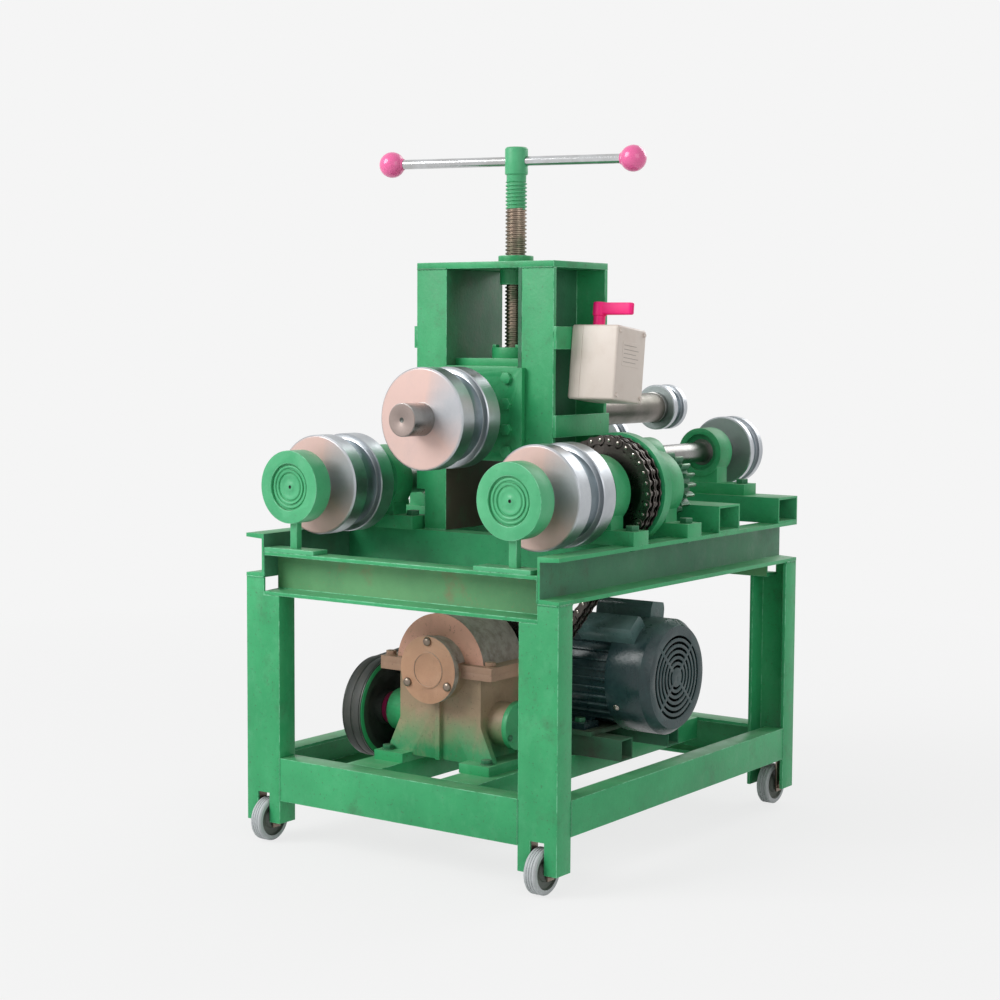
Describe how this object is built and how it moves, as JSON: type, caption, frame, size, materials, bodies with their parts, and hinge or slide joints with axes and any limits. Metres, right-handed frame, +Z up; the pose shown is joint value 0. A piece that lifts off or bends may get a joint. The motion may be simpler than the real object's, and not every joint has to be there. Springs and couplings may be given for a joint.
{
  "type": "ring roller",
  "caption": "Motor-driven ring roller on a wheeled steel frame: grooved rolls on overhung spindles, a screw-fed top roll in a guide tower, a worm gearbox with chain and belt drive.",
  "frame": {"origin": "on the floor, at the middle of the overall width and depth", "axes": "+Z up, +Y from the roll side to the back, +X to the machine's right seen from the roll side"},
  "size_m": [0.694, 0.969, 1.288],
  "materials": {
    "green_paint": "satin",
    "tan_paint": "matte",
    "teal_paint": "satin",
    "ivory_paint": "satin",
    "roll_steel": "polished",
    "bright_steel": "machined",
    "bearing_steel": "ground",
    "zinc_steel": "zinc plated",
    "dark_steel": "oiled",
    "cast_iron": "as cast",
    "black_rubber": "matte",
    "grey_rubber": "matte",
    "pink_plastic": "gloss",
    "nylon": "matte"
  },
  "bodies": {
    "machine_frame": {"legs": "green_paint", "end_channels": "green_paint", "bottom_rails": "green_paint", "side_channels": "green_paint", "cross_members": "green_paint", "deck_bars": "green_paint", "front_bearing_posts": "green_paint", "pillow_blocks": "green_paint", "frame_bolts": "zinc_steel", "bearing_rings": "bearing_steel", "idler_bracket": "green_paint", "caster_forks": "zinc_steel", "columns": "green_paint", "tower_plates": "green_paint", "guide_liner": "green_paint", "screw_nut": "green_paint", "drive_chain": "dark_steel", "belts": "black_rubber", "reducer_base": "tan_paint", "reducer_hood": "tan_paint", "reducer_caps": "tan_paint", "reducer_bolts": "zinc_steel", "motor_frame": "teal_paint", "motor_bells": "teal_paint", "fan_cover": "teal_paint", "capacitor_covers": "teal_paint", "motor_mount": "green_paint", "switch_cover": "ivory_paint", "switch_base": "nylon"},
    "wheel_front_left": {"caster_wheel_front_left": "grey_rubber"},
    "wheel_front_right": {"caster_wheel_front_right": "grey_rubber"},
    "wheel_rear_left": {"caster_wheel_rear_left": "grey_rubber"},
    "wheel_rear_right": {"caster_wheel_rear_right": "grey_rubber"},
    "carriage": {"carriage_body": "green_paint", "carriage_keepers": "green_paint", "carriage_hardware": "zinc_steel"},
    "pressure_screw": {"screw": "bright_steel"},
    "turning_bar": {"handle_bar": "bright_steel"},
    "top_spindle": {"top_shaft": "bright_steel", "top_rolls": "roll_steel"},
    "right_spindle": {"right_shaft": "bright_steel", "right_roll": "roll_steel", "right_gear": "dark_steel", "right_sprocket": "green_paint"},
    "left_spindle": {"left_shaft": "bright_steel", "left_roll": "roll_steel", "left_gear": "dark_steel"},
    "rear_right_spindle": {"rear_right_shaft": "bright_steel", "rear_right_roll": "roll_steel"},
    "rear_left_spindle": {"rear_left_shaft": "bright_steel", "rear_left_roll": "roll_steel"},
    "idler_right_gear": {"idler_right": "dark_steel"},
    "idler_middle_gear": {"idler_middle": "dark_steel"},
    "idler_left_gear": {"idler_left": "dark_steel"},
    "reducer_output": {"output_shaft": "bright_steel", "output_wheels": "dark_steel"},
    "worm": {"worm_shaft": "bright_steel", "big_pulley": "cast_iron"},
    "motor_rotor": {"rotor_shaft": "dark_steel"},
    "switch_handle": {"switch_lever": "pink_plastic"}
  },
  "joints": [
    {"name": "wheel_front_left_roll", "type": "hinge", "parent": "machine_frame", "child": "wheel_front_left", "pos_m": [-0.307, -0.4445, 0.04], "axis": [1, 0, 0], "continuous": true},
    {"name": "wheel_front_right_roll", "type": "hinge", "parent": "machine_frame", "child": "wheel_front_right", "pos_m": [0.307, -0.4445, 0.04], "axis": [1, 0, 0], "continuous": true},
    {"name": "wheel_rear_left_roll", "type": "hinge", "parent": "machine_frame", "child": "wheel_rear_left", "pos_m": [-0.307, 0.3775, 0.04], "axis": [1, 0, 0], "continuous": true},
    {"name": "wheel_rear_right_roll", "type": "hinge", "parent": "machine_frame", "child": "wheel_rear_right", "pos_m": [0.307, 0.3775, 0.04], "axis": [1, 0, 0], "continuous": true},
    {"name": "carriage_slide", "type": "slide", "parent": "machine_frame", "child": "carriage", "axis": [0, 0, 1], "range_m": [-0.1, 0.1]},
    {"name": "screw_turn", "type": "hinge", "parent": "carriage", "child": "pressure_screw", "pos_m": [0, -0.0935, 1], "axis": [0, 0, 1], "range_deg": [-5143, 5143]},
    {"name": "bar_slide", "type": "slide", "parent": "pressure_screw", "child": "turning_bar", "axis": [0.969, 0.247, 0], "range_m": [-0.18, 0.205]},
    {"name": "top_spin", "type": "hinge", "parent": "carriage", "child": "top_spindle", "pos_m": [0, -0.0335, 0.79], "axis": [0, 1, 0], "continuous": true},
    {"name": "right_spin", "type": "hinge", "parent": "machine_frame", "child": "right_spindle", "pos_m": [0.244, -0.0335, 0.662], "axis": [0, 1, 0], "continuous": true},
    {"name": "left_spin", "type": "hinge", "parent": "machine_frame", "child": "left_spindle", "pos_m": [-0.244, -0.0335, 0.662], "axis": [0, 1, 0], "continuous": true},
    {"name": "rear_right_spin", "type": "hinge", "parent": "machine_frame", "child": "rear_right_spindle", "pos_m": [0.1585, -0.0335, 0.70566], "axis": [0, 1, 0], "continuous": true},
    {"name": "rear_left_spin", "type": "hinge", "parent": "machine_frame", "child": "rear_left_spindle", "pos_m": [-0.1585, -0.0335, 0.70566], "axis": [0, 1, 0], "continuous": true},
    {"name": "idler_right_spin", "type": "hinge", "parent": "machine_frame", "child": "idler_right_gear", "pos_m": [0.08992, 0.0495, 0.63015], "axis": [0, 1, 0], "continuous": true},
    {"name": "idler_middle_spin", "type": "hinge", "parent": "machine_frame", "child": "idler_middle_gear", "pos_m": [0, 0.0495, 0.582], "axis": [0, 1, 0], "continuous": true},
    {"name": "idler_left_spin", "type": "hinge", "parent": "machine_frame", "child": "idler_left_gear", "pos_m": [-0.08992, 0.0495, 0.63015], "axis": [0, 1, 0], "continuous": true},
    {"name": "output_spin", "type": "hinge", "parent": "machine_frame", "child": "reducer_output", "pos_m": [0.004, -0.2705, 0.34], "axis": [0, 1, 0], "continuous": true},
    {"name": "worm_spin", "type": "hinge", "parent": "machine_frame", "child": "worm", "pos_m": [0.004, -0.2705, 0.24], "axis": [1, 0, 0], "continuous": true},
    {"name": "rotor_spin", "type": "hinge", "parent": "machine_frame", "child": "motor_rotor", "pos_m": [0, -0.0055, 0.3085], "axis": [1, 0, 0], "continuous": true},
    {"name": "switch_turn", "type": "hinge", "parent": "machine_frame", "child": "switch_handle", "pos_m": [0.193, -0.11245, 0.88741], "axis": [0, 0.1132, 0.9936], "range_deg": [-60, 60]}
  ],
  "couplings": [
    {"joint": "screw_turn", "follows": "carriage_slide", "rad_per_m": 897.6},
    {"joint": "worm_spin", "follows": "rotor_spin", "ratio": 0.51872},
    {"joint": "output_spin", "follows": "rotor_spin", "ratio": 0.012968},
    {"joint": "right_spin", "follows": "rotor_spin", "ratio": 0.012968},
    {"joint": "left_spin", "follows": "rotor_spin", "ratio": 0.012968},
    {"joint": "rear_right_spin", "follows": "rotor_spin", "ratio": -0.016673},
    {"joint": "rear_left_spin", "follows": "rotor_spin", "ratio": -0.016673},
    {"joint": "idler_right_spin", "follows": "rotor_spin", "ratio": 0.011671},
    {"joint": "idler_left_spin", "follows": "rotor_spin", "ratio": 0.011671},
    {"joint": "idler_middle_spin", "follows": "rotor_spin", "ratio": -0.016673}
  ]
}
